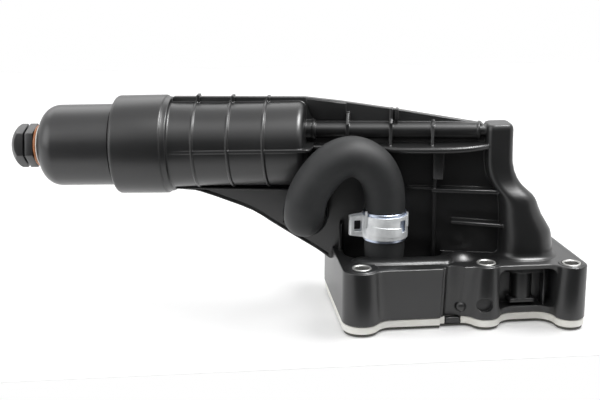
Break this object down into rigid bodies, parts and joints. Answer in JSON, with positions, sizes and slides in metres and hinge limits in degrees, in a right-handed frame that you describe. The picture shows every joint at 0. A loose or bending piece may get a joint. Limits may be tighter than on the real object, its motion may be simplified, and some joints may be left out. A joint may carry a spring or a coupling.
{
  "type": "oil filter housing",
  "caption": "Moulded engine oil filter housing: slanted ribbed canister with a hexagon screw cap, a clamped coolant hose, and a bolted flange base with gasket.",
  "frame": {"origin": "on the flange's mounting plane, the underside of the seal sheet, at the middle of the base block", "axes": "+Z away from the engine, +X along the flange's front edge away from the screw cap, +Y to the rear"},
  "size_m": [0.3652, 0.1324, 0.1421],
  "materials": {
    "black_nylon": "satin, glass-filled",
    "cap_nylon": "satin, glass-filled",
    "hose_rubber": "matt",
    "zinc": "bright zinc plated",
    "liner_steel": "bright, bluish",
    "limiter_steel": "turned",
    "cream_gasket": "matt",
    "seal_rubber": "matt",
    "amber_rubber": "smooth",
    "black_rubber": "smooth",
    "filter_paper": "matt",
    "grey_nylon": "satin",
    "spring_steel": "drawn wire",
    "valve_steel": "ground"
  },
  "bodies": {
    "housing": {"housing_body": "black_nylon", "flange_gasket": "cream_gasket", "flange_seal": "seal_rubber", "compression_limiter_front_left": "limiter_steel", "compression_limiter_front_mid": "limiter_steel", "compression_limiter_front_right": "limiter_steel", "compression_limiter_rear_left": "limiter_steel", "compression_limiter_rear_mid": "limiter_steel", "compression_limiter_rear_right": "limiter_steel", "coolant_hose": "hose_rubber", "hose_clamp_front": "zinc", "clamp_liner_front": "liner_steel", "hose_clamp_rear": "zinc", "clamp_liner_rear": "liner_steel", "filter_standpipe": "grey_nylon", "check_valve_seat": "valve_steel", "check_valve_spring": "spring_steel", "bypass_valve_seat": "valve_steel", "bypass_valve_spring": "spring_steel"},
    "check_valve": {"check_valve_disc": "valve_steel"},
    "bypass_valve": {"bypass_valve_disc": "valve_steel"},
    "element": {"filter_media": "filter_paper", "element_end_cap_outer": "grey_nylon", "element_end_cap_inner": "grey_nylon", "element_core": "grey_nylon", "element_grommet": "black_rubber"},
    "cap": {"filter_cap": "cap_nylon", "cap_o_ring": "black_rubber", "drive_hex": "cap_nylon", "drive_hex_o_ring": "amber_rubber"},
    "plug_seal": {"drain_plug_o_ring": "black_rubber"},
    "plug": {"drain_plug": "cap_nylon"}
  },
  "joints": [
    {"name": "check_valve_lift", "type": "slide", "parent": "housing", "child": "check_valve", "axis": [0, 0, 1], "range_m": [0, 0.004], "stiffness_N_per_m": 400, "springref_m": -0.004, "deforming": ["check_valve_spring"]},
    {"name": "bypass_valve_lift", "type": "slide", "parent": "housing", "child": "bypass_valve", "axis": [0, 0, 1], "range_m": [0, 0.004], "stiffness_N_per_m": 400, "springref_m": -0.004, "deforming": ["bypass_valve_spring"]},
    {"name": "cap_travel", "type": "slide", "parent": "housing", "child": "element", "axis": [-0.9716, 0.2333, -0.0401], "range_m": [0, 0.0121]},
    {"name": "cap_turn", "type": "hinge", "parent": "element", "child": "cap", "pos_m": [-0.096, 0.0115, 0.1119], "axis": [-0.9716, 0.2333, -0.0401], "range_deg": [0, 1080]},
    {"name": "plug_travel", "type": "slide", "parent": "cap", "child": "plug_seal", "axis": [-0.9716, 0.2333, -0.0401], "range_m": [0, 0.0053]},
    {"name": "plug_turn", "type": "hinge", "parent": "plug_seal", "child": "plug", "pos_m": [-0.096, 0.0115, 0.1119], "axis": [-0.9716, 0.2333, -0.0401], "range_deg": [0, 1080]}
  ],
  "couplings": [
    {"joint": "cap_travel", "follows": "cap_turn", "m_per_rad": 0.00063662},
    {"joint": "plug_travel", "follows": "plug_turn", "m_per_rad": 0.00027852}
  ]
}
